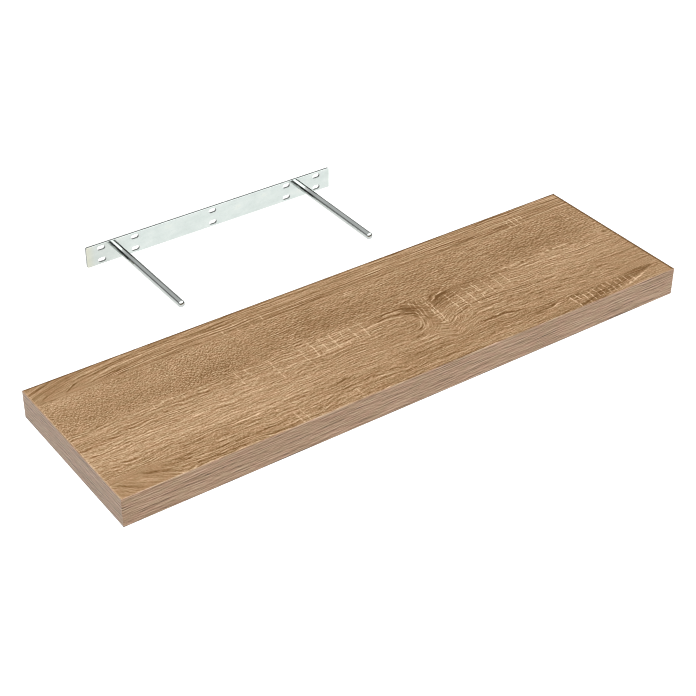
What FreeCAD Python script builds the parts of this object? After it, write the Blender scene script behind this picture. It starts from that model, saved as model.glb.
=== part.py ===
"""Floating wall shelf on a hidden rod bracket.

Two assemblies make the object. The bracket is a zinc plated steel strip that screws to the wall, with two
steel rods riveted into it. The board is a hollow core panel: a particleboard frame with paper honeycomb
inside, a hardboard skin above and below, printed decor foil on the skins and a plastic band round the edges.
Its back edge has a pocket for the strip and two bores for the rods.

Frame: millimetres, +Z up, +Y into the wall, +X to the right for someone who faces the wall. The origin is the
middle of the strip's wall face. The board is modelled off its bracket, PULL_OUT in front of the wall. It
slides that far along +Y to its mounted place, where its back edge meets the wall.
"""

import math
import os

import FreeCAD
import Part

# Board, outside sizes
BOARD_LENGTH = 800.0
BOARD_DEPTH = 235.0
BOARD_THICKNESS = 38.0

# Board, layers and frame members
BAND_THICKNESS = 1.0
BAND_ARRIS_RADIUS = 0.8
FOIL_THICKNESS = 0.3
SKIN_THICKNESS = 2.7
FRONT_RAIL_WIDTH = 30.0
BACK_RAIL_WIDTH = 40.0
END_RAIL_WIDTH = 30.0
ROD_BLOCK_WIDTH = 60.0

# Honeycomb core
CELL_PITCH = 20.0
CELL_WALL = 0.8

# Bracket strip
PLATE_LENGTH = 384.0
PLATE_HEIGHT = 30.0
PLATE_THICKNESS = 3.0
PLATE_CORNER_RADIUS = 2.0
PLATE_EDGE_BREAK = 0.3

# Oblong screw slots: one column in the middle and one on each side of each rod, two rows
SLOT_LENGTH = 12.0
SLOT_WIDTH = 6.5
SLOT_ROW_SPACING = 18.0
SLOT_TO_ROD = 25.0

# Rods and the riveted spigots that hold them in the strip
ROD_SPACING = 290.0
ROD_DIAMETER = 10.0
ROD_LENGTH = 167.0
ROD_NOSE_RADIUS = 4.5
SPIGOT_DIAMETER = 7.0
RIVET_HEAD_DIAMETER = 9.0

# Fits between board and bracket
BORE_DIAMETER = 10.5
BORE_END_CLEARANCE = 4.0
POCKET_DEPTH = 4.0
POCKET_END_CLEARANCE = 4.0

# Distance from the wall plane to the board's back edge while the board is off its bracket
PULL_OUT = 244.0

# Worked out from the driving sizes
HALF_LENGTH = BOARD_LENGTH / 2
HALF_THICKNESS = BOARD_THICKNESS / 2
BACK_Y = -PULL_OUT
FRONT_Y = BACK_Y - BOARD_DEPTH
INNER_HALF_LENGTH = HALF_LENGTH - BAND_THICKNESS
INNER_BACK_Y = BACK_Y - BAND_THICKNESS
INNER_FRONT_Y = FRONT_Y + BAND_THICKNESS
CORE_HALF_HEIGHT = HALF_THICKNESS - FOIL_THICKNESS - SKIN_THICKNESS
BACK_RAIL_FRONT_Y = INNER_BACK_Y - BACK_RAIL_WIDTH
FRONT_RAIL_BACK_Y = INNER_FRONT_Y + FRONT_RAIL_WIDTH
END_RAIL_INNER_X = INNER_HALF_LENGTH - END_RAIL_WIDTH
ROD_X = ROD_SPACING / 2
ROD_TIP_DEPTH = PLATE_THICKNESS + ROD_LENGTH
BORE_END_Y = BACK_Y - ROD_TIP_DEPTH - BORE_END_CLEARANCE
POCKET_HALF_LENGTH = PLATE_LENGTH / 2 + POCKET_END_CLEARANCE

LEFT = -1
RIGHT = 1
ALONG_Y = FreeCAD.Vector(0, 1, 0)


def span_box(x_span, y_span, z_span):
    """A box between two limits on each axis, given in either order."""
    lows = [min(span) for span in (x_span, y_span, z_span)]
    highs = [max(span) for span in (x_span, y_span, z_span)]
    sizes = [high - low for low, high in zip(lows, highs)]
    return Part.makeBox(*sizes, FreeCAD.Vector(*lows))


def edges_where(solid, test):
    """The straight or curved edges of a solid whose middle point passes a test."""
    return [edge for edge in solid.Edges if test(edge.CenterOfMass)]


def near(a, b):
    return abs(a - b) < 1e-6


# ---------------------------------------------------------------- bracket


def slot_cutter(x, z):
    """An oblong slot through the strip, long axis along X, centred on x and z."""
    radius = SLOT_WIDTH / 2
    half_run = SLOT_LENGTH / 2 - radius
    depth = PLATE_THICKNESS + 2
    start_y = -PLATE_THICKNESS - 1
    cutter = span_box((x - half_run, x + half_run), (start_y, start_y + depth), (z - radius, z + radius))
    for end_x in (x - half_run, x + half_run):
        end = Part.makeCylinder(radius, depth, FreeCAD.Vector(end_x, start_y, z), ALONG_Y)
        cutter = cutter.fuse(end)
    return cutter.removeSplitter()


def slot_columns():
    """X of the five slot columns: the middle one, and one on each side of each rod."""
    columns = [0.0]
    for side in (LEFT, RIGHT):
        for step in (-SLOT_TO_ROD, SLOT_TO_ROD):
            columns.append(side * ROD_X + step)
    return columns


def rivet_spigot(x):
    """The rod's shouldered end, which fills the strip's hole and is peened into a countersink at the wall face."""
    spigot_radius = SPIGOT_DIAMETER / 2
    head_radius = RIVET_HEAD_DIAMETER / 2
    head_depth = head_radius - spigot_radius
    front = FreeCAD.Vector(x, -PLATE_THICKNESS, 0)
    spigot = Part.makeCylinder(spigot_radius, PLATE_THICKNESS, front, ALONG_Y)
    head_start = FreeCAD.Vector(x, -head_depth, 0)
    head = Part.makeCone(spigot_radius, head_radius, head_depth, head_start, ALONG_Y)
    return spigot.fuse(head)


def wall_plate():
    """Steel strip with rounded corners, lightly broken edges, ten screw slots and two riveted rod holes."""
    half_length = PLATE_LENGTH / 2
    half_height = PLATE_HEIGHT / 2
    plate = span_box((-half_length, half_length), (-PLATE_THICKNESS, 0), (-half_height, half_height))
    corners = edges_where(plate, lambda p: near(abs(p.x), half_length) and near(abs(p.z), half_height))
    plate = plate.makeFillet(PLATE_CORNER_RADIUS, corners)
    front_rim = edges_where(plate, lambda p: near(p.y, -PLATE_THICKNESS))
    plate = plate.makeChamfer(PLATE_EDGE_BREAK, front_rim)
    for x in slot_columns():
        for side in (LEFT, RIGHT):
            plate = plate.cut(slot_cutter(x, side * SLOT_ROW_SPACING / 2))
    for side in (LEFT, RIGHT):
        plate = plate.cut(rivet_spigot(side * ROD_X))
    return plate


def rod(side):
    """Round bar that carries the board, with a rounded nose at its free end."""
    x = side * ROD_X
    tip = FreeCAD.Vector(x, -ROD_TIP_DEPTH, 0)
    bar = Part.makeCylinder(ROD_DIAMETER / 2, ROD_LENGTH, tip, ALONG_Y)
    nose = [edge for edge in bar.Edges if edge.isClosed() and near(edge.CenterOfMass.y, -ROD_TIP_DEPTH)]
    bar = bar.makeFillet(ROD_NOSE_RADIUS, nose)
    return bar.fuse(rivet_spigot(x)).removeSplitter()


# ---------------------------------------------------------------- board


def rod_bores():
    """Both rod bores, open at the board's back edge."""
    radius = BORE_DIAMETER / 2
    length = BACK_Y - BORE_END_Y
    bores = [Part.makeCylinder(radius, length, FreeCAD.Vector(side * ROD_X, BORE_END_Y, 0), ALONG_Y)
             for side in (LEFT, RIGHT)]
    return bores[0].fuse(bores[1])


def plate_pocket():
    """The space in the back edge that the strip fills when the board is mounted."""
    half = POCKET_HALF_LENGTH
    return span_box((-half, half), (BACK_Y, BACK_Y - POCKET_DEPTH), (-CORE_HALF_HEIGHT, CORE_HALF_HEIGHT))


def core_member(x_span, y_span):
    """A frame member that fills the height between the two skins."""
    return span_box(x_span, y_span, (-CORE_HALF_HEIGHT, CORE_HALF_HEIGHT))


def front_rail():
    return core_member((-INNER_HALF_LENGTH, INNER_HALF_LENGTH), (INNER_FRONT_Y, FRONT_RAIL_BACK_Y))


def back_rail():
    """Rail along the wall side, with the strip's pocket and the two bores in it."""
    rail = core_member((-INNER_HALF_LENGTH, INNER_HALF_LENGTH), (INNER_BACK_Y, BACK_RAIL_FRONT_Y))
    return rail.cut(plate_pocket()).cut(rod_bores())


def end_rail(side):
    return core_member((side * END_RAIL_INNER_X, side * INNER_HALF_LENGTH), (FRONT_RAIL_BACK_Y, BACK_RAIL_FRONT_Y))


def rod_block(side):
    """Cross block from back rail to front rail, bored for one rod."""
    half = ROD_BLOCK_WIDTH / 2
    x_span = (side * ROD_X - half, side * ROD_X + half)
    return core_member(x_span, (FRONT_RAIL_BACK_Y, BACK_RAIL_FRONT_Y)).cut(rod_bores())


def skin(side):
    """Hardboard sheet on the frame: side 1 is the top, side -1 the underside."""
    z_span = (side * CORE_HALF_HEIGHT, side * (CORE_HALF_HEIGHT + SKIN_THICKNESS))
    return span_box((-INNER_HALF_LENGTH, INNER_HALF_LENGTH), (INNER_FRONT_Y, INNER_BACK_Y), z_span)


def decor_foil(side):
    """Printed foil on the skin: side 1 is the top, side -1 the underside."""
    z_span = (side * (HALF_THICKNESS - FOIL_THICKNESS), side * HALF_THICKNESS)
    return span_box((-INNER_HALF_LENGTH, INNER_HALF_LENGTH), (INNER_FRONT_Y, INNER_BACK_Y), z_span)


def long_band(outer_y, inner_y):
    """Edge band over the whole length, with its outer arrises and its two upright corners rounded."""
    band = span_box((-HALF_LENGTH, HALF_LENGTH), (outer_y, inner_y), (-HALF_THICKNESS, HALF_THICKNESS))
    rim = edges_where(band, lambda p: near(p.y, outer_y))
    return band.makeFillet(BAND_ARRIS_RADIUS, rim)


def end_band(side):
    """Edge band over one end, between the front and back bands, with its outer arrises rounded."""
    outer_x = side * HALF_LENGTH
    band = span_box((outer_x, side * INNER_HALF_LENGTH), (INNER_FRONT_Y, INNER_BACK_Y),
                    (-HALF_THICKNESS, HALF_THICKNESS))
    rim = edges_where(band, lambda p: near(p.x, outer_x) and near(abs(p.z), HALF_THICKNESS))
    return band.makeFillet(BAND_ARRIS_RADIUS, rim)


def front_edge_band():
    return long_band(FRONT_Y, INNER_FRONT_Y)


def back_edge_band():
    """Band on the wall side, with the pocket's mouth cut through it."""
    return long_band(BACK_Y, INNER_BACK_Y).cut(plate_pocket())


def hexagon(x, y, across_flats):
    """A six sided face in the XY plane, with two sides along Y."""
    radius = across_flats / math.sqrt(3)
    corners = []
    for step in range(7):
        angle = math.radians(30 + 60 * step)
        corners.append(FreeCAD.Vector(x + radius * math.cos(angle), y + radius * math.sin(angle), 0))
    return Part.Face(Part.makePolygon(corners))


def flat_rectangle(x_span, y_span, margin=0.0):
    width = x_span[1] - x_span[0] - 2 * margin
    depth = y_span[1] - y_span[0] - 2 * margin
    return Part.makePlane(width, depth, FreeCAD.Vector(x_span[0] + margin, y_span[0] + margin, 0))


def honeycomb(x_span):
    """Paper core between two frame members: six sided cells, cut off where they meet the frame."""
    y_span = (FRONT_RAIL_BACK_Y, BACK_RAIL_FRONT_Y)
    row_pitch = CELL_PITCH * math.sqrt(3) / 2
    columns = math.ceil((x_span[1] - x_span[0]) / CELL_PITCH) + 1
    rows = math.ceil((y_span[1] - y_span[0]) / row_pitch) + 1
    cells = []
    for row in range(rows):
        shift = CELL_PITCH / 2 if row % 2 else 0.0
        for column in range(columns):
            x = x_span[0] + shift + column * CELL_PITCH
            y = y_span[0] + row * row_pitch
            cells.append(hexagon(x, y, CELL_PITCH - CELL_WALL))
    openings = Part.makeCompound(cells).common(flat_rectangle(x_span, y_span, CELL_WALL))
    sheet = flat_rectangle(x_span, y_span).cut(openings)
    core = sheet.extrude(FreeCAD.Vector(0, 0, 2 * CORE_HALF_HEIGHT))
    core.translate(FreeCAD.Vector(0, 0, -CORE_HALF_HEIGHT))
    return core


def outer_honeycomb(side):
    """Core between one end rail and the nearer rod block."""
    block_face = side * (ROD_X + ROD_BLOCK_WIDTH / 2)
    return honeycomb(sorted((block_face, side * END_RAIL_INNER_X)))


def centre_honeycomb():
    """Core between the two rod blocks."""
    half = ROD_X - ROD_BLOCK_WIDTH / 2
    return honeycomb((-half, half))


# ---------------------------------------------------------------- output

NODES = {
    "wall_plate": wall_plate(),
    "left_rod": rod(LEFT),
    "right_rod": rod(RIGHT),
    "front_rail": front_rail(),
    "back_rail": back_rail(),
    "left_end_rail": end_rail(LEFT),
    "right_end_rail": end_rail(RIGHT),
    "left_rod_block": rod_block(LEFT),
    "right_rod_block": rod_block(RIGHT),
    "left_honeycomb": outer_honeycomb(LEFT),
    "centre_honeycomb": centre_honeycomb(),
    "right_honeycomb": outer_honeycomb(RIGHT),
    "top_skin": skin(1),
    "bottom_skin": skin(-1),
    "top_decor_foil": decor_foil(1),
    "bottom_decor_foil": decor_foil(-1),
    "front_edge_band": front_edge_band(),
    "back_edge_band": back_edge_band(),
    "left_edge_band": end_band(LEFT),
    "right_edge_band": end_band(RIGHT),
}

os.makedirs("parts", exist_ok=True)
for name, shape in NODES.items():
    if not shape.isValid() or len(shape.Solids) != 1:
        raise ValueError(f"{name} is not one valid solid")
    shape.exportStep(f"parts/{name}.step")
    print(name, len(shape.Faces), "faces", round(shape.Volume / 1000, 2), "cm3")
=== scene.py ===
"""Looks for a floating wall shelf and its rod bracket: printed oak board, bright zinc plated steel.

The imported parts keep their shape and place. This script gives each of them a procedural material, and adds
the studio light, the floor and the camera. Lengths are in metres, except inside the surface patterns, which
work in millimetres because grain, pores and saw marks are of that size.
"""

import math

import bpy
from mathutils import Matrix, Vector


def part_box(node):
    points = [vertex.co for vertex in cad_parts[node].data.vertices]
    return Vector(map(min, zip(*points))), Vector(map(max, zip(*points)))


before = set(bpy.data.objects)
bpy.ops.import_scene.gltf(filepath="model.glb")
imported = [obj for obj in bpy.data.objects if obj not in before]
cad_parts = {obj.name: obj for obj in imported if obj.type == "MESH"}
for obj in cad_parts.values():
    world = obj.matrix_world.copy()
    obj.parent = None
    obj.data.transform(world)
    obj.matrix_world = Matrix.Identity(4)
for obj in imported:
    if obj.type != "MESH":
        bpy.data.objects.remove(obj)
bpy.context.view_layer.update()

MM = 0.001
BOARD_LOW, BOARD_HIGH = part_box("back_edge_band")[0].copy(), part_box("back_edge_band")[1].copy()
BOARD_LOW.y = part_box("front_edge_band")[0].y
BOARD_CENTRE = (BOARD_LOW + BOARD_HIGH) / 2

# The board in whole millimetres, for the surface patterns
HALF_LENGTH = round(BOARD_HIGH.x / MM)
DEPTH = round((BOARD_HIGH.y - BOARD_LOW.y) / MM)
HALF_THICKNESS = round(BOARD_HIGH.z / MM)

# Noise leaves 0.5 by about a twelfth, so this brings it to between -1 and 1
NOISE_GAIN = 12
# How far beyond its half width or half length the rim of a drawn line or cloud lies
SPOT_REACH = 1.7


# ---------------------------------------------------------------- node arithmetic


class Field:
    """A number that varies over a surface: one output of a node, with arithmetic that adds more nodes."""

    def __init__(self, tree, socket):
        self.tree = tree
        self.socket = socket

    def math(self, operation, *others):
        """The result of a Math node, with this field as its first value."""
        node = self.tree.nodes.new("ShaderNodeMath")
        node.operation = operation
        for value, socket in zip((self, *others), node.inputs):
            connect(value, socket)
        return Field(self.tree, node.outputs[0])

    def __add__(self, other):
        return self.math("ADD", other)

    __radd__ = __add__

    def __mul__(self, other):
        return self.math("MULTIPLY", other)

    __rmul__ = __mul__

    def __sub__(self, other):
        return self.math("SUBTRACT", other)

    def __rsub__(self, other):
        return (self * -1.0) + other

    def __truediv__(self, other):
        return self.math("DIVIDE", other)

    def __abs__(self):
        return self.math("ABSOLUTE")

    def step(self, low, high):
        """0 below low and 1 above high, smooth between. With high under low it falls instead."""
        node = self.tree.nodes.new("ShaderNodeMapRange")
        node.interpolation_type = "SMOOTHSTEP"
        connect(self, node.inputs["Value"])
        connect(low, node.inputs["From Min"])
        connect(high, node.inputs["From Max"])
        return Field(self.tree, node.outputs["Result"])

    def between(self, low, high, soft):
        """1 from low to high, falling to 0 over a distance soft at each end."""
        return self.step(low - soft, low + soft) * self.step(high + soft, high - soft)

    def hump(self, centre, width):
        """A bell curve of height 1."""
        scaled = (self - centre) / width
        return (scaled * scaled * -1.0).math("EXPONENT")

    def blend(self, other, share):
        """This field where share is 0, the other where it is 1."""
        return self + (other - self) * share


def connect(value, socket):
    """Feeds a socket from a field, or sets it to a plain number or colour."""
    if isinstance(value, Field):
        value.tree.links.new(value.socket, socket)
    else:
        socket.default_value = value


def noise(x, y, z=0.0, detail=2.0, roughness=0.5):
    """Soft noise between 0 and 1, around 0.5, with features one unit across."""
    tree = x.tree
    point = tree.nodes.new("ShaderNodeCombineXYZ")
    for value, socket in zip((x, y, z), point.inputs):
        connect(value, socket)
    node = tree.nodes.new("ShaderNodeTexNoise")
    node.inputs["Scale"].default_value = 1.0
    node.inputs["Detail"].default_value = detail
    node.inputs["Roughness"].default_value = roughness
    tree.links.new(point.outputs[0], node.inputs["Vector"])
    return Field(tree, node.outputs["Fac"])


def grain(x, y, z=0.0, detail=2.0):
    """Soft noise around 0 that mostly stays between -1 and 1."""
    return (noise(x, y, z, detail) - 0.5) * NOISE_GAIN


def cells(x, y, z, output="Distance"):
    """Irregular cells one unit across: the distance to each cell's middle, or the cell's own random value."""
    tree = x.tree
    point = tree.nodes.new("ShaderNodeCombineXYZ")
    for value, socket in zip((x, y, z), point.inputs):
        connect(value, socket)
    node = tree.nodes.new("ShaderNodeTexVoronoi")
    node.inputs["Scale"].default_value = 1.0
    tree.links.new(point.outputs[0], node.inputs["Vector"])
    if output == "Distance":
        return Field(tree, node.outputs["Distance"])
    split = tree.nodes.new("ShaderNodeSeparateXYZ")
    tree.links.new(node.outputs["Color"], split.inputs[0])
    return Field(tree, split.outputs[0])


def spot(point, along, across, half_length, half_width, angle=0.0):
    """1 at the middle of an ellipse, falling evenly to 0 at its rim. point is the place, from flat_point."""
    tree = point.tree
    local = tree.nodes.new("ShaderNodeMapping")
    local.vector_type = "TEXTURE"
    local.inputs["Location"].default_value = (along, across, 0)
    local.inputs["Rotation"].default_value = (0, 0, angle)
    local.inputs["Scale"].default_value = (half_length, half_width, 1)
    fall = tree.nodes.new("ShaderNodeTexGradient")
    fall.gradient_type = "SPHERICAL"
    tree.links.new(point.socket, local.inputs["Vector"])
    tree.links.new(local.outputs["Vector"], fall.inputs["Vector"])
    return Field(tree, fall.outputs["Fac"])


def flat_point(along, across):
    """The place (along, across) as one node output."""
    node = along.tree.nodes.new("ShaderNodeCombineXYZ")
    connect(along, node.inputs["X"])
    connect(across, node.inputs["Y"])
    return Field(along.tree, node.outputs["Vector"])


def colour_ramp(field, stops):
    """A colour for each value of a field. Stops are (value, (red, green, blue)) in sRGB, 0 to 255."""
    node = field.tree.nodes.new("ShaderNodeValToRGB")
    elements = node.color_ramp.elements
    while len(elements) < len(stops):
        elements.new(0.5)
    for element, (position, srgb) in zip(elements, stops):
        element.position = position
        element.color = linear(srgb)
    connect(field, node.inputs["Fac"])
    return Field(field.tree, node.outputs["Color"])


def mix_colours(first, second, share, kind="MIX"):
    """The first colour where share is 0 and the mix with the second where it is 1."""
    node = first.tree.nodes.new("ShaderNodeMix")
    node.data_type = "RGBA"
    node.blend_type = kind
    connect(share, node.inputs["Factor"])
    connect(first, node.inputs["A"])
    connect(second, node.inputs["B"])
    return Field(first.tree, node.outputs["Result"])


def linear(srgb):
    """An sRGB colour of 0 to 255 as linear RGBA."""
    return (*(((c / 255 + 0.055) / 1.055) ** 2.4 for c in srgb), 1.0)


# ---------------------------------------------------------------- materials


class Surface:
    """A new material with its shader, the surface's own x, y and z in millimetres, and the way it faces."""

    def __init__(self, name):
        self.material = bpy.data.materials.new(name)
        self.material.use_nodes = True
        self.tree = self.material.node_tree
        self.shader = self.tree.nodes["Principled BSDF"]
        place = self.tree.nodes.new("ShaderNodeTexCoord")
        split = self.tree.nodes.new("ShaderNodeSeparateXYZ")
        self.tree.links.new(place.outputs["Object"], split.inputs[0])
        self.x, self.y, self.z = (Field(self.tree, output) / MM for output in split.outputs)
        facing = self.tree.nodes.new("ShaderNodeSeparateXYZ")
        self.tree.links.new(place.outputs["Normal"], facing.inputs[0])
        self.facing_x, self.facing_y, self.facing_z = (Field(self.tree, output) for output in facing.outputs)

    def set(self, **values):
        """Sets shader inputs: base_color=..., roughness=... and so on."""
        for name, value in values.items():
            connect(value, self.shader.inputs[name.replace("_", " ").title().replace("Ior", "IOR")])

    def bump(self, height_mm, strength=1.0):
        """Gives the surface a fine relief, from a field of heights in millimetres."""
        node = self.tree.nodes.new("ShaderNodeBump")
        node.inputs["Strength"].default_value = strength
        node.inputs["Distance"].default_value = MM
        connect(height_mm, node.inputs["Height"])
        self.tree.links.new(node.outputs["Normal"], self.shader.inputs["Normal"])


# Brown of the oak print for each tone, from its darkest line to its palest
OAK_TONES = [
    (0.00, (93, 60, 16)),
    (0.25, (120, 89, 54)),
    (0.50, (148, 118, 86)),
    (0.75, (174, 145, 115)),
    (1.00, (201, 173, 143)),
]

OAK_MIDDLE_TONE = 0.47
UNDERSIDE_CONTRAST = 0.8

# The places below are in the board's millimetres: along from its middle, across from its back edge. They were
# read off the photograph, so that the larger marks of the print lie where the real print has them.

# Seams between the printed staves
STAVE_SEAMS = (36.0, 109.0, 207.0)

KNOT_ACROSS = 141
FAN_ALONG = 145

# Darker and lighter clouds in the print: along, across, half length, half width, slope, strength
CLOUDS = [
    (-255, 162, 180, 32, 0.00, 0.14),
    (-320, 118, 110, 12, 0.00, 0.05),
    (270, 135, 130, 24, 0.05, 0.05),
    (-215, 95, 70, 16, 0.00, -0.08),
    (110, 76, 250, 36, 0.00, -0.070),
    (280, 85, 70, 14, -0.05, -0.07),
    (-40, 76, 70, 30, 0.00, -0.035),
    (365, 74, 40, 30, 0.00, -0.050),
    (300, 18, 100, 14, 0.00, -0.045),
    (66, 118, 16, 13, 0.35, -0.26),
    (76, 135, 10, 24, 0.00, -0.18),
    (108, 121, 20, 13, -0.60, -0.30),
    (150, 113, 70, 6, 0.00, -0.16),
    (250, 29, 60, 5, 0.04, -0.12),
    (120, 203, 120, 9, 0.02, -0.07),
    (90, 222, 190, 16, 0.00, -0.05),
    (215, 231, 40, 4, 0.00, -0.06),
    (200, 208, 34, 4, 0.00, -0.10),
    (-220, 217, 110, 14, 0.00, 0.035),
    (-170, 228, 150, 4, 0.00, -0.06),
    (-370, 18, 40, 9, -0.45, -0.13),
    (-60, 33, 120, 3, 0.00, -0.06),
    (-380, 46, 40, 9, 0.00, 0.06),
]

# Growth lines that follow the bent grain: place across it, half width, from, to, strength
GROWTH_LINES = [
    (4.0, 1.1, -330, -120, -0.20),
    (12.0, 1.1, -250, -20, -0.18),
    (15.0, 1.2, -250, 20, 0.20),
    (24.5, 1.0, -200, -20, -0.20),
    (27.5, 0.9, -190, 40, 0.14),
    (31.0, 1.1, -200, 60, -0.24),
    (33.5, 1.0, -60, 90, -0.16),
    (8.0, 1.0, 0, 180, -0.16),
    (16.0, 1.0, 40, 300, 0.14),
    (28.5, 1.3, 190, 345, -0.28),
    (31.5, 1.2, 20, 240, -0.22),
    (34.0, 0.9, 20, 150, 0.16),
    (133.0, 1.0, -120, 0, -0.22),
    (145.0, 1.0, -130, -20, -0.18),
    (174.0, 1.1, -190, -80, -0.22),
    (186.0, 1.1, -110, -20, -0.24),
    (190.5, 1.0, -238, -186, 0.44),
    (194.0, 1.0, -120, 30, -0.22),
    (200.0, 0.9, -60, 60, -0.20),
    (213.5, 1.0, -200, -60, -0.22),
    (219.0, 1.2, -170, -60, -0.30),
    (223.0, 1.0, -200, -60, 0.18),
    (228.0, 1.2, -230, -110, -0.28),
    (233.0, 1.2, -60, 235, -0.18),
    (226.0, 1.0, -20, 180, 0.14),
]

# Bold grain lines drawn one by one: from (along, across), to (along, across), sag, half width, strength
STROKES = [
    # arches in the back stave at the left end
    (-399, 14, -366, 6, -0.6, 1.1, -0.24),
    (-400, 33, -364, 18, -1.2, 0.9, 0.30),
    (-396, 36, -366, 21, -1.2, 1.0, -0.20),
    (-363, 36, -337, 20, -1.8, 1.1, -0.46),
    (-360, 32, -337, 17.5, -1.8, 0.9, 0.28),
    (-357, 20, -310, 9, -1.6, 0.9, 0.30),
    (-354, 23, -318, 12, -1.4, 1.0, -0.26),
    (-338, 36, -282, 15.5, -4.0, 0.9, 0.30),
    (-316, 34, -274, 26.5, -1.8, 1.1, -0.40),
    (-298, 36.5, -262, 31.5, -1.2, 1.1, -0.38),
    (-276, 26.8, -160, 24.0, -0.6, 1.0, -0.28),
    (-262, 35.2, -158, 33.8, -0.5, 1.0, -0.38),
    (-326, 19, -250, 12.0, -1.6, 1.0, -0.28),
    (-300, 16.5, -170, 14.0, -0.6, 1.2, 0.22),
    (-400, 36.5, -368, 36.5, 0.0, 1.0, -0.34),
    # bands that sweep out of the front stave at the left end
    (-365, 208, -324, 225.5, -1.0, 1.6, -0.36),
    (-326, 225, -228, 228.5, 1.6, 1.2, -0.38),
    (-341, 209.5, -302, 222, -0.8, 1.0, -0.26),
    (-321, 208.5, -300, 216.5, 0.8, 1.7, -0.36),
    (-304, 216.0, -162, 219.5, 1.0, 1.2, -0.44),
    (-322, 209, -286, 209.5, 0.0, 1.0, -0.34),
    (-280, 209, -236, 210.5, 0.0, 1.0, -0.30),
    (-396, 210, -368, 233, -1.0, 1.3, -0.26),
    (-374, 214, -346, 231, -0.6, 2.2, 0.16),
    (-300, 213, -240, 214, 0.6, 0.9, 0.20),
    # lines bent round the knot
    (-20, 112.5, 14, 112.0, 0.0, 0.9, -0.24),
    (8, 112.4, 54, 109.4, -0.9, 1.2, -0.66),
    (46, 109.2, 74, 122, -2.4, 1.5, -0.66),
    (12, 114, 62, 115.4, -2.8, 0.9, 0.46),
    (-22, 120.4, 15, 118.6, -0.4, 1.0, -0.32),
    (8, 119.0, 48, 118.5, -0.9, 1.1, -0.54),
    (38, 118.0, 67, 131, -1.8, 1.4, -0.52),
    (-22, 122.6, 42, 121.4, -1.4, 0.9, 0.32),
    (-20, 133.6, 58, 132.6, -0.6, 0.9, -0.28),
    (56, 128, 70, 139, -1.2, 1.5, -0.34),
    (40, 163.5, 63, 150, 2.4, 1.0, -0.40),
    (42, 167, 66, 154, 2.6, 1.0, 0.30),
    (30, 173, 52, 167.5, 1.2, 1.0, -0.30),
    (34, 178.5, 54, 174.0, 1.2, 0.9, 0.26),
    (36, 158, 54, 149, 1.6, 0.9, -0.26),
    (97, 119.2, 126, 107.4, -2.4, 1.0, 0.76),
    (97, 123, 128, 110.5, -2.6, 1.6, -0.26),
    (118, 126.2, 150, 121.2, -0.8, 0.9, -0.36),
    (99, 141, 117, 131, 0.0, 0.9, -0.32),
    (100, 143.6, 118, 133.6, 0.0, 0.8, 0.26),
    (94, 152, 118, 142, 0.4, 0.9, -0.22),
    # long lines right of the knot
    (172, 109.4, 388, 109.6, 0.0, 1.0, 0.40),
    (176, 111.6, 388, 112.0, 0.0, 0.9, -0.24),
    (218, 117.0, 320, 117.6, 0.0, 1.0, 0.26),
    (236, 123.6, 380, 130.0, 0.6, 1.0, 0.36),
    (240, 126.0, 384, 132.4, 0.6, 0.9, -0.22),
    (104, 160.6, 140, 151.4, 0.8, 1.0, -0.36),
    (132, 151.6, 196, 154.0, -1.8, 1.1, -0.48),
    (182, 152.6, 276, 162.8, 0.4, 1.1, -0.44),
    (268, 162.2, 399, 170, -0.8, 1.0, -0.26),
    (108, 190, 164, 191.8, -1.2, 1.2, -0.58),
    (154, 191.0, 194, 198.2, 0.8, 1.2, -0.54),
    (182, 187, 206, 191, 0.0, 1.0, -0.30),
    (188, 177, 206, 178.6, 0.0, 0.9, -0.28),
    (209, 178, 239, 185, -0.8, 1.0, -0.32),
    (236, 181, 256, 183.6, 0.6, 1.2, -0.32),
    (254, 172, 293, 184, -2.0, 1.0, -0.26),
    (318, 184, 357, 203, -2.2, 1.2, -0.20),
    (264, 197.4, 343, 199, -0.6, 1.0, -0.22),
    (-20, 187, 33, 187.4, -0.6, 1.2, -0.38),
    # the pointed figure by the front stave's seam
    (184, 214.5, 233, 208.0, 0.6, 1.6, -0.60),
    (202, 216.4, 236, 209.4, 0.0, 1.1, 0.80),
    (196, 224.4, 240, 223.8, 0.0, 0.9, 0.26),
    (240, 233.4, 302, 217.6, 0.6, 1.3, -0.40),
    (312, 232.5, 382, 212.6, 0.8, 1.0, 0.46),
]

# Groups of pale saw marks across the grain: first mark, pitch, number, from, to, lean, strength
SAW_MARKS = [
    (-150.0, 18.7, 4, 21, 39, 0.00, 0.32),
    (-291.0, 12.4, 6, 108, 117, 0.00, 0.28),
    (-183.0, 14.0, 2, 109, 137, 0.00, 0.36),
    (-138.0, 42.0, 2, 112, 152, 0.03, 0.32),
    (-79.5, 14.6, 6, 107, 137, 0.03, 0.36),
    (-167.0, 8.8, 2, 212, 234, 0.00, 0.36),
    (-83.0, 20.0, 1, 215, 228, 0.00, 0.30),
    (295.0, 8.3, 4, 17, 38, 0.05, 0.50),
    (68.0, 5.2, 3, 106, 142, 0.14, 0.40),
    (87.2, 4.6, 2, 107, 166, 0.12, 0.46),
    (119.0, 13.8, 4, 115, 156, 0.05, 0.44),
    (164.0, 14.6, 4, 112, 146, 0.06, 0.36),
    (244.8, 8.8, 4, 209, 236, 0.00, 0.58),
    (280.0, 8.8, 8, 209, 229, 0.00, 0.52),
]

# Pale lines along the grain that cross the saw marks: along, across, half length, strength
CROSS_LINES = [(-38, 108, 60, 0.48), (-45, 122, 80, 0.34), (-60, 133, 120, 0.40)]


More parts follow.
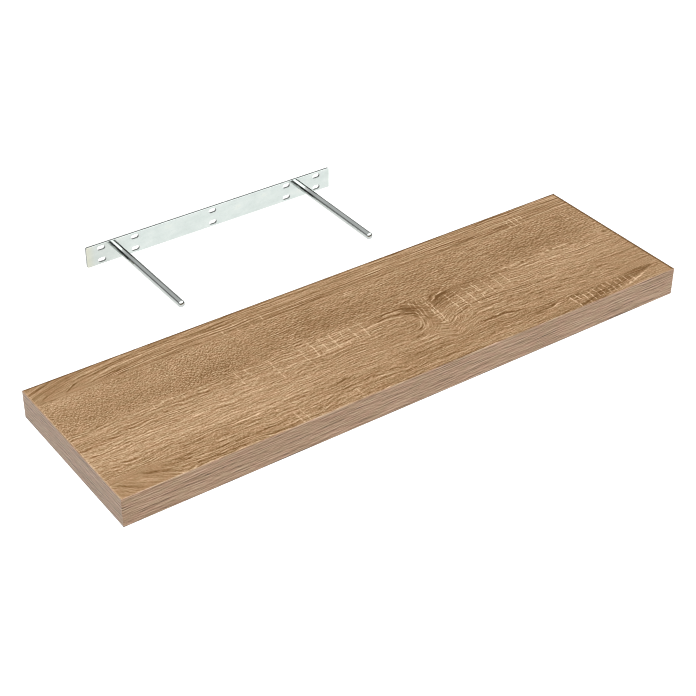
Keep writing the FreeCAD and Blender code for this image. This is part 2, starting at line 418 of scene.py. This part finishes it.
def grain_flow(u, v):
    """Distance across the grain, bent into the printed figure: arches at the left, a fan beside the knot."""
    wave = grain(u / 130, v / 60, 3.0) * 1.3 + grain(u / 42, v / 24, 8.0) * 0.9
    wave = wave * v.step(22, 60).math("MAXIMUM", 0.45)
    back_arch = ((u + HALF_LENGTH) / -75).math("EXPONENT") * -34 * v.step(41, 31)
    past_end = -330 - u
    front_arch = (past_end + (past_end * past_end + 60).math("SQRT")) * 0.42 * v.step(199, 209)
    before_fan = (FAN_ALONG - u).math("MAXIMUM", 0.0)
    after_fan = (u - FAN_ALONG).math("MAXIMUM", 0.0)
    fan = before_fan * before_fan * -0.0039 * u.step(60, 90) - after_fan * 0.055
    fan = fan * v.between(109, 200, 7)
    return v + wave + back_arch + front_arch + fan


def knot_rings(u, v):
    """Distance from the middle of the grain that closes round the knot from its left."""
    reach = ((u - 20).math("MAXIMUM", 0.0) / 55).math("POWER", 2.2) * 31
    off = v - KNOT_ACROSS + grain(u / 30, v / 14, 4.0) * 0.8
    return (off * off + reach * reach).math("SQRT")


def pressed(along, across, seed, detail):
    """Grain in which each dark line has a pale flank in front of it, as pressed pores catch the light."""
    return grain(along, across, seed, detail) - grain(along, across - 1.4, seed, detail) * 0.55


def figure(along, across, seed, side=0.0):
    """Grain lines: long streaks, broad growth bands, short flecks and fuzz.

    side makes the two sides of a closed ring differ.
    """
    streaks = pressed(along / 34, across / 1.7, side + seed, 2.0)
    growth = grain(along / 150, across / 7.0, side + seed + 4, 2.0)
    flecks = pressed(along / 8, across / 1.6, side + seed + 9, 2.0)
    fuzz = grain(along / 2.4, across / 1.7, side + seed + 11, 1.0)
    return streaks * 0.105 + growth * 0.02 + flecks * 0.085 + fuzz * 0.075


def line_pieces(start, start_across, end, end_across, sag):
    """Cuts a slightly sagging line into overlapping straight pieces.

    Each piece is (along, across, half length, angle).
    """
    length = end - start
    if abs(sag) > 1.5 or length > 90:
        count = 3
    elif abs(sag) > 0.5 or length > 40:
        count = 2
    else:
        count = 1
    rise = end_across - start_across
    for piece in range(1, count + 1):
        way = piece / (count + 1)
        slope = (rise + 4 * sag * (1 - 2 * way)) / length
        across = start_across + rise * way + 4 * sag * way * (1 - way)
        half_length = length / (count + 1) * math.hypot(1, slope)
        yield start + length * way, across, half_length, math.atan(slope)


def growth_lines(u, flow, lines):
    """Single darker or paler lines that follow the bent grain and thin out at their ends."""
    place = flat_point(u, flow)
    total = 0.0
    for across, half_width, start, end, strength in lines:
        for along, _, half_length, _ in line_pieces(start, across, end, across, 0.0):
            piece = spot(place, along, across, half_length, half_width * SPOT_REACH)
            total = piece.math("MULTIPLY_ADD", strength, total)
    return total * grain(u / 45, flow / 9, 33.0).step(-1.1, 0.6)


def strokes(u, v, lines):
    """Single grain lines with a slight curve, each fading out at both ends."""
    place = flat_point(u, v + grain(u / 12, v / 6, 35.0) * 0.35)
    total = 0.0
    for start, start_across, end, end_across, sag, half_width, strength in lines:
        for along, across, half_length, angle in line_pieces(start, start_across, end, end_across, sag):
            piece = spot(place, along, across, half_length, half_width * SPOT_REACH, angle)
            total = piece.math("MULTIPLY_ADD", strength, total)
    return total * grain(u / 16, v / 5, 36.0).step(-1.8, 0.0)


def saw_marks(u, v, marks):
    """Thin pale lines across the grain, each a little crooked and broken."""
    crooked = u + grain(u / 30, v / 14, 21.0) * 0.5
    broken = grain(u / 2.5, v / 7, 22.0).step(-1.5, 0.3)
    total = None
    for first, pitch, count, top, bottom, lean, strength in marks:
        turns = (crooked + (v - (top + bottom) / 2) * lean - first) / pitch
        off_line = abs(turns - turns.math("ROUND")) * pitch
        in_group = turns.between(-0.25, count - 0.75, 0.05)
        line = off_line.step(1.3, 0.3) * in_group * v.between(top, bottom, 2.5) * strength
        total = line if total is None else total + line
    return total * broken


def cross_lines(u, v, lines):
    """Pale lines along the grain, where the print shows the same saw running the other way."""
    wandering = v + grain(u / 40, v / 60, 27.0) * 0.6
    total = None
    for along, across, half_length, strength in lines:
        line = wandering.hump(across, 1.0) * u.hump(along, half_length) * strength
        total = line if total is None else total + line
    return total * grain(u / 12, v / 9, 28.0).step(-1.2, 0.4)


def seams(u, v):
    """The dark line and the pale line beside it where two printed staves meet."""
    total = None
    for place in STAVE_SEAMS:
        edge = v + grain(u / 90, u / 400, place) * 0.3
        strength = grain(u / 60, place, 5.0).step(-0.8, 1.2)
        line = (edge.hump(place + 2.2, 1.1) * 0.14 - edge.hump(place, 1.0) * 0.14) * strength
        total = line if total is None else total + line
    return total


def clouds(u, v, places):
    """Broad soft patches that are darker or paler than the rest."""
    place = flat_point(u, v)
    total = 0.0
    for along, across, half_length, half_width, slope, strength in places:
        reach = (half_length * SPOT_REACH, half_width * SPOT_REACH)
        cloud = spot(place, along, across, *reach, math.atan(slope))
        total = cloud.step(0, 1).math("MULTIPLY_ADD", strength, total)
    return total


def painted_top_arris_light(u, v):
    """Painted shade along the back and right edges, painted highlight along the left and the front left
    edges, painted shade along the rest of the front edge.
    """
    back = v.step(3.4, 1.8) * -0.42
    right = u.step(HALF_LENGTH - 4.4, HALF_LENGTH - 2.6) * -0.46
    left = u.step(2.6 - HALF_LENGTH, 1.2 - HALF_LENGTH) * 0.20
    front = v.step(DEPTH - 2.6, DEPTH - 1.2) * (u.step(40, -100) * 0.24 - 0.10)
    return back + right + left + front


def sawn_wedge(u, v):
    """The dark wedge by the front edge near the right end, where the saw marks are strongest."""
    lower_edge = (u - 285) * -0.21 + 232.5
    upper_left = (u - 242) * -0.27 + 233
    inside = v.step(206.5, 208.5) * (v - lower_edge).step(0.8, -0.8) * u.step(240, 252) * u.step(386, 378)
    return inside * ((v - upper_left).step(-2, 2) * 0.14 + u.step(330, 365) * 0.08 + 0.10) * -1.0


def top_figure(u, v, flow, seed, fine):
    """The top's own figure: long lines at the back, two calm ends, and grain that closes round the knot."""
    long_lines = pressed(u / 110, flow / 1.7, seed + 2, 2.0) * 0.14
    back_stave = v.step(40, 30) * 0.75
    fine = fine * (0.90 - back_stave * 0.42) + long_lines * (back_stave + 0.30)
    calm = v.step(40, 32) * u.step(-290, -340) + v.step(200, 210) * u.step(-310, -350)
    calm = calm + u.step(300, 350) * v.step(128, 150) * 0.6
    fine = fine * (1.0 - calm * 0.45)
    ring = knot_rings(u, v)
    side = ((v - KNOT_ACROSS) / 14).math("MINIMUM", 1.0).math("MAXIMUM", -1.0) * 1.5
    rings = figure(u, ring, seed + 40, side)
    near_knot = u.step(-30, 25) * u.step(80, 70) * ring.step(9, 17) * v.between(113, 174, 6) * 0.7
    return fine.blend(rings, near_knot)


def mottle(u, v, seed, figured):
    """The short speckled grain of the second stave, which grows longer towards the right on the top."""
    short = pressed(u / 3.4, v / 1.7, seed + 13, 2.0) * 0.66
    speckle = short + grain(u / 1.7, v / 1.4, seed + 14, 1.0) * 0.68
    if figured:
        longer = pressed(u / 4.5, v / 1.5, seed + 19, 1.0) * 0.72
        longer = longer + pressed(u / 26, v / 1.5, seed + 21, 2.0) * 0.60
        speckle = speckle.blend(longer, u.step(-210, -60))
    strength = u.between(-250, -70, 30) * 0.06 + 0.165
    return speckle * strength + grain(u / 16, v / 2.4, seed + 15, 2.0) * 0.05


def oak_tone(u, v, seed, figured):
    """Printed oak for one face: u runs along the board from its middle, v across it from its back edge."""
    flow = grain_flow(u, v) if figured else v + grain(u / 130, v / 60, seed) * 1.5
    fine = figure(u, flow, seed)
    if figured:
        fine = top_figure(u, v, flow, seed, fine)
    second_stave = v.between(STAVE_SEAMS[0] + 3, STAVE_SEAMS[1] - 2, 4)
    fine = fine.blend(mottle(u, v, seed, figured), second_stave * 0.9)
    drift = grain(u / 110, v / 34, seed + 17, 2.0) * 0.02
    pores = grain(u / 11, flow / 1.3, seed + 23, 1.0).step(1.0, 2.0) * -0.14
    if not figured:
        fine = fine * UNDERSIDE_CONTRAST
    tone = fine + drift + pores + OAK_MIDDLE_TONE + seams(u, v)
    if figured:
        # The top's edges get a painted shade and a painted highlight.
        tone = tone + clouds(u, v, CLOUDS) + sawn_wedge(u, v) + painted_top_arris_light(u, v)
        tone = tone + growth_lines(u, flow, GROWTH_LINES) + strokes(u, v, STROKES)
        tone = tone + saw_marks(u, v, SAW_MARKS) + cross_lines(u, v, CROSS_LINES)
    return tone, fine


def oak_face(name, figured, seed):
    """Satin printed foil with a pressed grain."""
    surface = Surface(name)
    u = surface.x
    v = surface.y * -1 + BOARD_HIGH.y / MM
    tone, fine = oak_tone(u, v, seed, figured)
    colour = colour_ramp(tone, OAK_TONES)
    tint = noise(u / 16, v / 9, seed + 31)
    hues = colour_ramp(tint, [(0.35, (232, 238, 214)), (0.65, (255, 239, 222))])
    colour = mix_colours(colour, hues, 0.3, "MULTIPLY")
    surface.set(base_color=colour, roughness=0.46 - fine * 0.12, specular_ior_level=0.25)
    surface.bump(fine * 0.05, 0.6)
    return surface.material


# The edge bands' print, paler and pinker than the top's
BAND_TONES = [
    (0.00, (70, 48, 30)),
    (0.25, (122, 94, 69)),
    (0.50, (144, 117, 92)),
    (0.72, (162, 135, 111)),
    (1.00, (181, 158, 136)),
]


def edge_band(name, along, seed, line_share, level, upper_arris_painted_light):
    """Printed plastic band. Its grain runs level, along x on the long bands and along y on the end bands."""
    surface = Surface(name)
    u = getattr(surface, along)
    v = surface.z + grain(u / 140, surface.z / 30, seed) * 0.6
    broad = grain(u / 70, v / 3.6, seed + 3, 2.0) * 0.05
    lines = pressed(u / 55, v / 1.3, seed + 5, 2.0) * 0.13
    short = pressed(u / 9, v / 1.1, seed + 8, 1.0) * 0.07
    fine = (broad + lines) * line_share + short
    drift = grain(u / 70, v / 16, seed + 12) * 0.02
    # Painted shade along the lower arris; along the upper arris a painted highlight on the front and left
    # bands and painted shade on the back and right bands.
    lower = surface.z.step(2.2 - HALF_THICKNESS, 1.0 - HALF_THICKNESS) * -0.24
    upper = surface.z.step(HALF_THICKNESS - 1.4, HALF_THICKNESS - 0.4) * upper_arris_painted_light
    painted_band_arris_light = lower + upper
    colour = colour_ramp(fine + drift + painted_band_arris_light + level, BAND_TONES)
    tint = noise(u / 20, v / 8, seed + 31)
    hues = colour_ramp(tint, [(0.35, (236, 240, 220)), (0.65, (255, 236, 232))])
    colour = mix_colours(colour, hues, 0.5, "MULTIPLY")
    surface.set(base_color=colour, roughness=0.42 - fine * 0.1, specular_ior_level=0.45)
    surface.bump(fine * 0.04, 0.6)
    return surface.material


def particleboard():
    """Pressed chips: flat flakes in several browns, with gaps between them."""
    surface = Surface("particleboard")
    x, y, z = surface.x / 2.6, surface.y / 2.2, surface.z / 0.9
    chip = cells(x, y, z, "Color")
    gap = cells(x, y, z).step(0.30, 0.75)
    grit = noise(surface.x / 0.6, surface.y / 0.6, surface.z / 0.5, 2.0)
    tone = chip * 0.7 + grit * 0.4 - gap * 0.22
    browns = [(0.0, (108, 84, 60)), (0.4, (162, 134, 102)), (0.75, (196, 170, 136)), (1.0, (220, 199, 168))]
    colour = colour_ramp(tone, browns)
    surface.set(base_color=colour, roughness=0.85, specular_ior_level=0.25)
    surface.bump(tone * 0.35)
    return surface.material


def hardboard():
    """Dense brown fibreboard with short felted fibres."""
    surface = Surface("hardboard")
    fibre = noise(surface.x / 1.6, surface.y / 0.5, surface.z / 0.4, 3.0)
    cloud = noise(surface.x / 14, surface.y / 14, surface.z / 3, 2.0)
    browns = [(0.3, (92, 66, 42)), (0.5, (124, 92, 60)), (0.7, (150, 116, 80))]
    colour = colour_ramp(fibre * 0.6 + cloud * 0.4, browns)
    surface.set(base_color=colour, roughness=0.7, specular_ior_level=0.3)
    surface.bump(fibre * 0.08)
    return surface.material


def kraft_paper():
    """Raw brown paper for the honeycomb core."""
    surface = Surface("kraft_paper")
    fibre = noise(surface.x / 0.8, surface.y / 0.8, surface.z / 2.5, 3.0)
    colour = colour_ramp(fibre, [(0.35, (150, 116, 76)), (0.65, (190, 154, 108))])
    surface.set(base_color=colour, roughness=0.9, specular_ior_level=0.2)
    surface.bump(fibre * 0.04)
    return surface.material


def zinc_plate():
    """Rolled strip, sheared and punched, with a thin bright zinc coat.

    It has faint rolling lines, clouds and scratches, a painted shade over its left part, a yellowed left end
    and darker cut edges.
    """
    surface = Surface("zinc_plate")
    x, y, z = surface.x, surface.y, surface.z
    rolling = noise(x / 60, y / 0.6, z / 0.45, 3.0)
    cloud = noise(x / 26, y / 26, z / 12, 3.0)
    spangle = noise(x / 3.5, y / 3.5, z / 3.5, 2.0)
    scratch = noise(x / 18 + z / 9, y, z / 0.22 - x / 70, 1.0).step(0.72, 0.80)
    tone = cloud * 0.55 + rolling * 0.25 + spangle * 0.2
    colour = colour_ramp(tone, [(0.32, (187, 196, 193)), (0.50, (197, 205, 202)), (0.68, (207, 213, 210))])
    warm_end = x.step(-178, -191) * 0.6 + cloud.step(0.62, 0.75) * 0.12
    warm = colour_ramp(tone, [(0.3, (186, 185, 162)), (0.7, (202, 200, 180))])
    # Painted shade: the left part of the strip is darker.
    shaded = colour_ramp(tone, [(0.3, (170, 175, 171)), (0.7, (192, 195, 190))])
    colour = mix_colours(colour, shaded, x.step(-118, -168) * 0.45)
    colour = mix_colours(colour, warm, warm_end)
    sheared = abs(surface.facing_y).step(0.8, 0.4)
    burr = colour_ramp(noise(x / 2, y / 0.4, z / 2, 2.0), [(0.35, (110, 114, 112)), (0.65, (150, 154, 152))])
    colour = mix_colours(colour, burr, sheared)
    roughness = cloud * 0.08 + rolling * 0.05 + scratch * 0.12 + 0.05 + sheared * 0.25
    surface.set(base_color=colour, metallic=1.0, roughness=roughness)
    surface.bump(rolling * 0.004 + scratch * -0.003)
    return surface.material


# Direction across a rod from which the marks at its root are counted, fixed to the steel. It is square to the
# photograph's view, so the marks show in that view where the photograph has them.
# These marks at the root are painted reflections: dark streaks and a bright crown.
ROD_SIDE_X, ROD_SIDE_Z = 0.77, 0.64


def zinc_rod():
    """Drawn bar, polished and plated, with fine lengthwise lines.

    Near its root two flanks are painted dark and the crown between them bright: painted reflections, dark
    ones of the surroundings on the flanks and a bright one of the plate on the crown.
    """
    surface = Surface("zinc_rod")
    x, y, z = surface.x, surface.y, surface.z
    drawing = noise(x / 0.35, y / 40, z / 0.35, 3.0)
    cloud = noise(x / 9, y / 20, z / 9, 3.0)
    colour = colour_ramp(cloud * 0.6 + drawing * 0.4, [(0.3, (166, 171, 169)), (0.7, (186, 190, 188))])
    around = surface.facing_x * ROD_SIDE_X + surface.facing_z * ROD_SIDE_Z
    # Painted reflections at the root: dark streaks on two flanks and a bright crown between them, fixed to
    # the steel.
    flanks = around.between(-0.62, -0.16, 0.12) + around.between(0.60, 0.92, 0.12)
    painted_dark_reflection = flanks * y.between(-40, -6, 6) * (drawing * 0.4 + 0.7)
    painted_bright_reflection = around.between(-0.10, 0.46, 0.12) * y.step(-30, -8)
    dark = colour_ramp(drawing, [(0.3, (16, 17, 17)), (0.7, (44, 46, 45))])
    bright = colour_ramp(drawing, [(0.3, (236, 239, 237)), (0.7, (250, 251, 250))])
    colour = mix_colours(mix_colours(colour, dark, painted_dark_reflection), bright, painted_bright_reflection)
    roughness = cloud * 0.06 + drawing * 0.04 + 0.01
    surface.set(base_color=colour, metallic=1.0, roughness=roughness)
    surface.bump(drawing * 0.003)
    return surface.material


def paint(node, material):
    """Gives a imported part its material."""
    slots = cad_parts[node].material_slots
    for slot in slots:
        slot.material = material


# Print of each edge band and the painted light on its upper arris: the way its grain runs, seed, share of
# long lines, tone, painted highlight (above 0) and painted shade (below 0) along the upper arris
BAND_PRINTS_AND_ARRIS_LIGHT = {
    "front": ("x", 71.0, 1.0, 0.50, 0.12),
    "back": ("x", 83.0, 0.8, 0.50, -0.45),
    "left": ("y", 97.0, 0.7, 0.37, 0.26),
    "right": ("y", 113.0, 0.7, 0.37, -0.45),
}


def paint_parts():
    """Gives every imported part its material. Parts of one kind share one."""
    paint("top_decor_foil", oak_face("oak_top", figured=True, seed=11.0))
    paint("bottom_decor_foil", oak_face("oak_underside", figured=False, seed=57.0))
    for side, band_print_and_arris_light in BAND_PRINTS_AND_ARRIS_LIGHT.items():
        paint(side + "_edge_band", edge_band("oak_band_" + side, *band_print_and_arris_light))
    board, skin, core = particleboard(), hardboard(), kraft_paper()
    rails = ("front_rail", "back_rail", "left_end_rail", "right_end_rail")
    for node in (*rails, "left_rod_block", "right_rod_block"):
        paint(node, board)
    for node in ("top_skin", "bottom_skin"):
        paint(node, skin)
    for node in ("left_honeycomb", "centre_honeycomb", "right_honeycomb"):
        paint(node, core)
    paint("wall_plate", zinc_plate())
    rods = zinc_rod()
    for node in ("left_rod", "right_rod"):
        paint(node, rods)


# ---------------------------------------------------------------- studio

SOFTBOX_LIGHT = 2.6
WALL_LIGHT = 0.85
BACK_GLOOM = 0.25
FRONT_GLOOM = 0.06
SWEEP_LIGHT = 1.05

# Where one light gives way to the next, as parts of a unit direction: y towards the wall, z up
SOFTBOX_DEPTH = (0.35, 0.05)
SOFTBOX_HEIGHT = (0.42, 0.58)
WALL_HEIGHT = (0.40, 0.52)
FRONT_TO_BACK = (-0.1, 0.1)
SWEEP_HEIGHT = (0.17, 0.11)

FLOOR_DROP = 2.2
FLOOR_SIZE = 40.0


def white_floor():
    """A wide pale floor, some way under the part, which hangs as it would on its wall."""
    middle = (0, BOARD_CENTRE.y, BOARD_LOW.z - FLOOR_DROP)
    bpy.ops.mesh.primitive_plane_add(size=FLOOR_SIZE, location=middle)
    floor = bpy.context.object
    floor.name = "studio_floor"
    surface = Surface("studio_floor")
    cloud = noise(surface.x / 900, surface.y / 900)
    colour = colour_ramp(cloud, [(0.3, (236, 236, 235)), (0.7, (240, 240, 239))])
    surface.set(base_color=colour, roughness=0.9)
    floor.data.materials.append(surface.material)


def studio_light():
    """A broad softbox overhead, a pale wall round it, gloom below that, and a bright sweep at the bottom."""
    world = bpy.data.worlds.new("studio")
    bpy.context.scene.world = world
    world.use_nodes = True
    tree = world.node_tree
    place = tree.nodes.new("ShaderNodeTexCoord")
    split = tree.nodes.new("ShaderNodeSeparateXYZ")
    tree.links.new(place.outputs["Generated"], split.inputs[0])
    _, y, z = (Field(tree, output) for output in split.outputs)
    softbox = y.step(*SOFTBOX_DEPTH) * z.step(*SOFTBOX_HEIGHT)
    level = y.step(*FRONT_TO_BACK) * (BACK_GLOOM - FRONT_GLOOM) + FRONT_GLOOM
    level = level.blend(WALL_LIGHT, z.step(*WALL_HEIGHT))
    level = level.blend(SOFTBOX_LIGHT, softbox)
    level = level.blend(SWEEP_LIGHT, z.step(*SWEEP_HEIGHT))
    background = tree.nodes["Background"]
    background.inputs["Color"].default_value = (1.0, 1.0, 1.0, 1.0)
    connect(level, background.inputs["Strength"])


# ---------------------------------------------------------------- camera

VIEW_AZIMUTH = math.radians(35.28)
VIEW_ELEVATION = math.radians(34.9)
VIEW_ROLL = math.radians(0.31)
VIEW_DISTANCE = 1.989
VIEW_AIM = BOARD_CENTRE + Vector((-29.0, -3.0, 0.0)) * MM
LENS_MM = 85.26
SENSOR_MM = 36.0
PIXEL_FILTER = 1.1


def camera():
    """Looks down on the board from the front left, with a long lens."""
    level_forward = Vector((math.sin(VIEW_AZIMUTH), math.cos(VIEW_AZIMUTH), 0.0))
    forward = level_forward * math.cos(VIEW_ELEVATION) - Vector((0, 0, math.sin(VIEW_ELEVATION)))
    level_right = Vector((math.cos(VIEW_AZIMUTH), -math.sin(VIEW_AZIMUTH), 0.0))
    level_up = level_right.cross(forward)
    right = level_right * math.cos(VIEW_ROLL) + level_up * math.sin(VIEW_ROLL)
    up = level_up * math.cos(VIEW_ROLL) - level_right * math.sin(VIEW_ROLL)
    data = bpy.data.cameras.new("camera")
    data.lens = LENS_MM
    data.sensor_width = SENSOR_MM
    view = bpy.data.objects.new("camera", data)
    bpy.context.scene.collection.objects.link(view)
    turn = Matrix((right, up, -forward)).transposed().to_4x4()
    view.matrix_world = Matrix.Translation(VIEW_AIM - forward * VIEW_DISTANCE) @ turn
    bpy.context.scene.camera = view


paint_parts()
white_floor()
studio_light()
camera()
bpy.context.scene.view_settings.view_transform = "Standard"
bpy.context.scene.cycles.filter_width = PIXEL_FILTER
